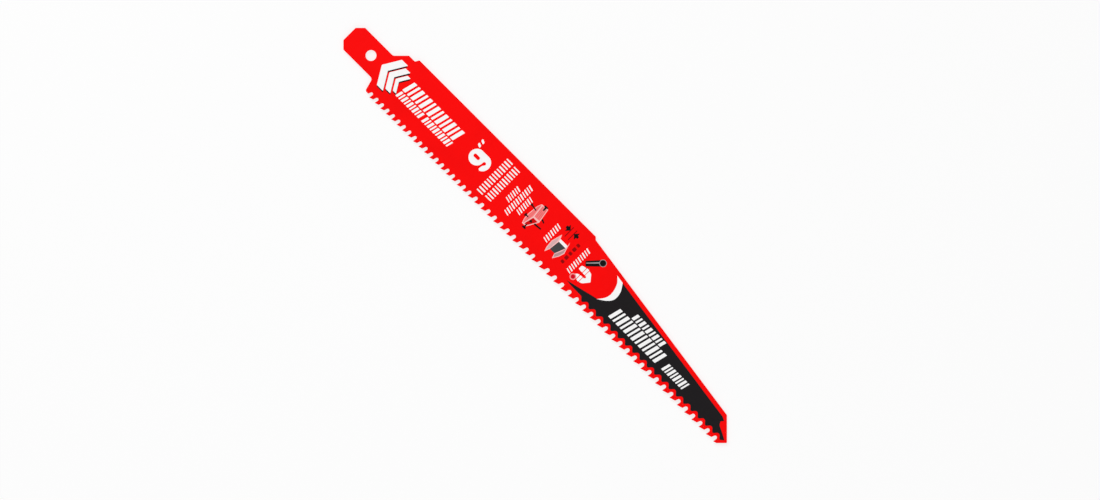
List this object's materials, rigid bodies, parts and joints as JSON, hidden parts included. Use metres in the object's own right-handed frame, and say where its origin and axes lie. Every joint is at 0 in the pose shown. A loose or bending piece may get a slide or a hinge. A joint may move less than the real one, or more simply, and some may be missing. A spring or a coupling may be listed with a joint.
{
  "type": "reciprocating saw blade",
  "caption": "Flat tapered reciprocating saw blade with a holed tang, graded carbide-tipped teeth and a sloped nose.",
  "frame": {"origin": "centre of the tang's hole, at mid-thickness", "axes": "+X along the blade from the tang to the nose, +Y to the back (teeth point to -Y), +Z out of the flat side"},
  "size_m": [0.2286, 0.0254, 0.0018],
  "materials": {
    "painted_steel": "satin paint over spring steel, printed",
    "carbide": "ground carbide"
  },
  "bodies": {
    "root": {"blade_body": "painted_steel", "carbide_tip_01": "carbide", "carbide_tip_02": "carbide", "carbide_tip_03": "carbide", "carbide_tip_04": "carbide", "carbide_tip_05": "carbide", "carbide_tip_06": "carbide", "carbide_tip_07": "carbide", "carbide_tip_08": "carbide", "carbide_tip_09": "carbide", "carbide_tip_10": "carbide", "carbide_tip_11": "carbide", "carbide_tip_12": "carbide", "carbide_tip_13": "carbide", "carbide_tip_14": "carbide", "carbide_tip_15": "carbide", "carbide_tip_16": "carbide", "carbide_tip_17": "carbide", "carbide_tip_18": "carbide", "carbide_tip_19": "carbide", "carbide_tip_20": "carbide", "carbide_tip_21": "carbide", "carbide_tip_22": "carbide", "carbide_tip_23": "carbide", "carbide_tip_24": "carbide", "carbide_tip_25": "carbide", "carbide_tip_26": "carbide", "carbide_tip_27": "carbide", "carbide_tip_28": "carbide", "carbide_tip_29": "carbide", "carbide_tip_30": "carbide", "carbide_tip_31": "carbide", "carbide_tip_32": "carbide", "carbide_tip_33": "carbide", "carbide_tip_34": "carbide", "carbide_tip_35": "carbide", "carbide_tip_36": "carbide", "carbide_tip_37": "carbide", "carbide_tip_38": "carbide", "carbide_tip_39": "carbide", "carbide_tip_40": "carbide", "carbide_tip_41": "carbide", "carbide_tip_42": "carbide", "carbide_tip_43": "carbide", "carbide_tip_44": "carbide", "carbide_tip_45": "carbide", "carbide_tip_46": "carbide", "carbide_tip_47": "carbide", "carbide_tip_48": "carbide", "carbide_tip_49": "carbide", "carbide_tip_50": "carbide", "carbide_tip_51": "carbide", "carbide_tip_52": "carbide", "carbide_tip_53": "carbide", "carbide_tip_54": "carbide"}
  },
  "joints": []
}
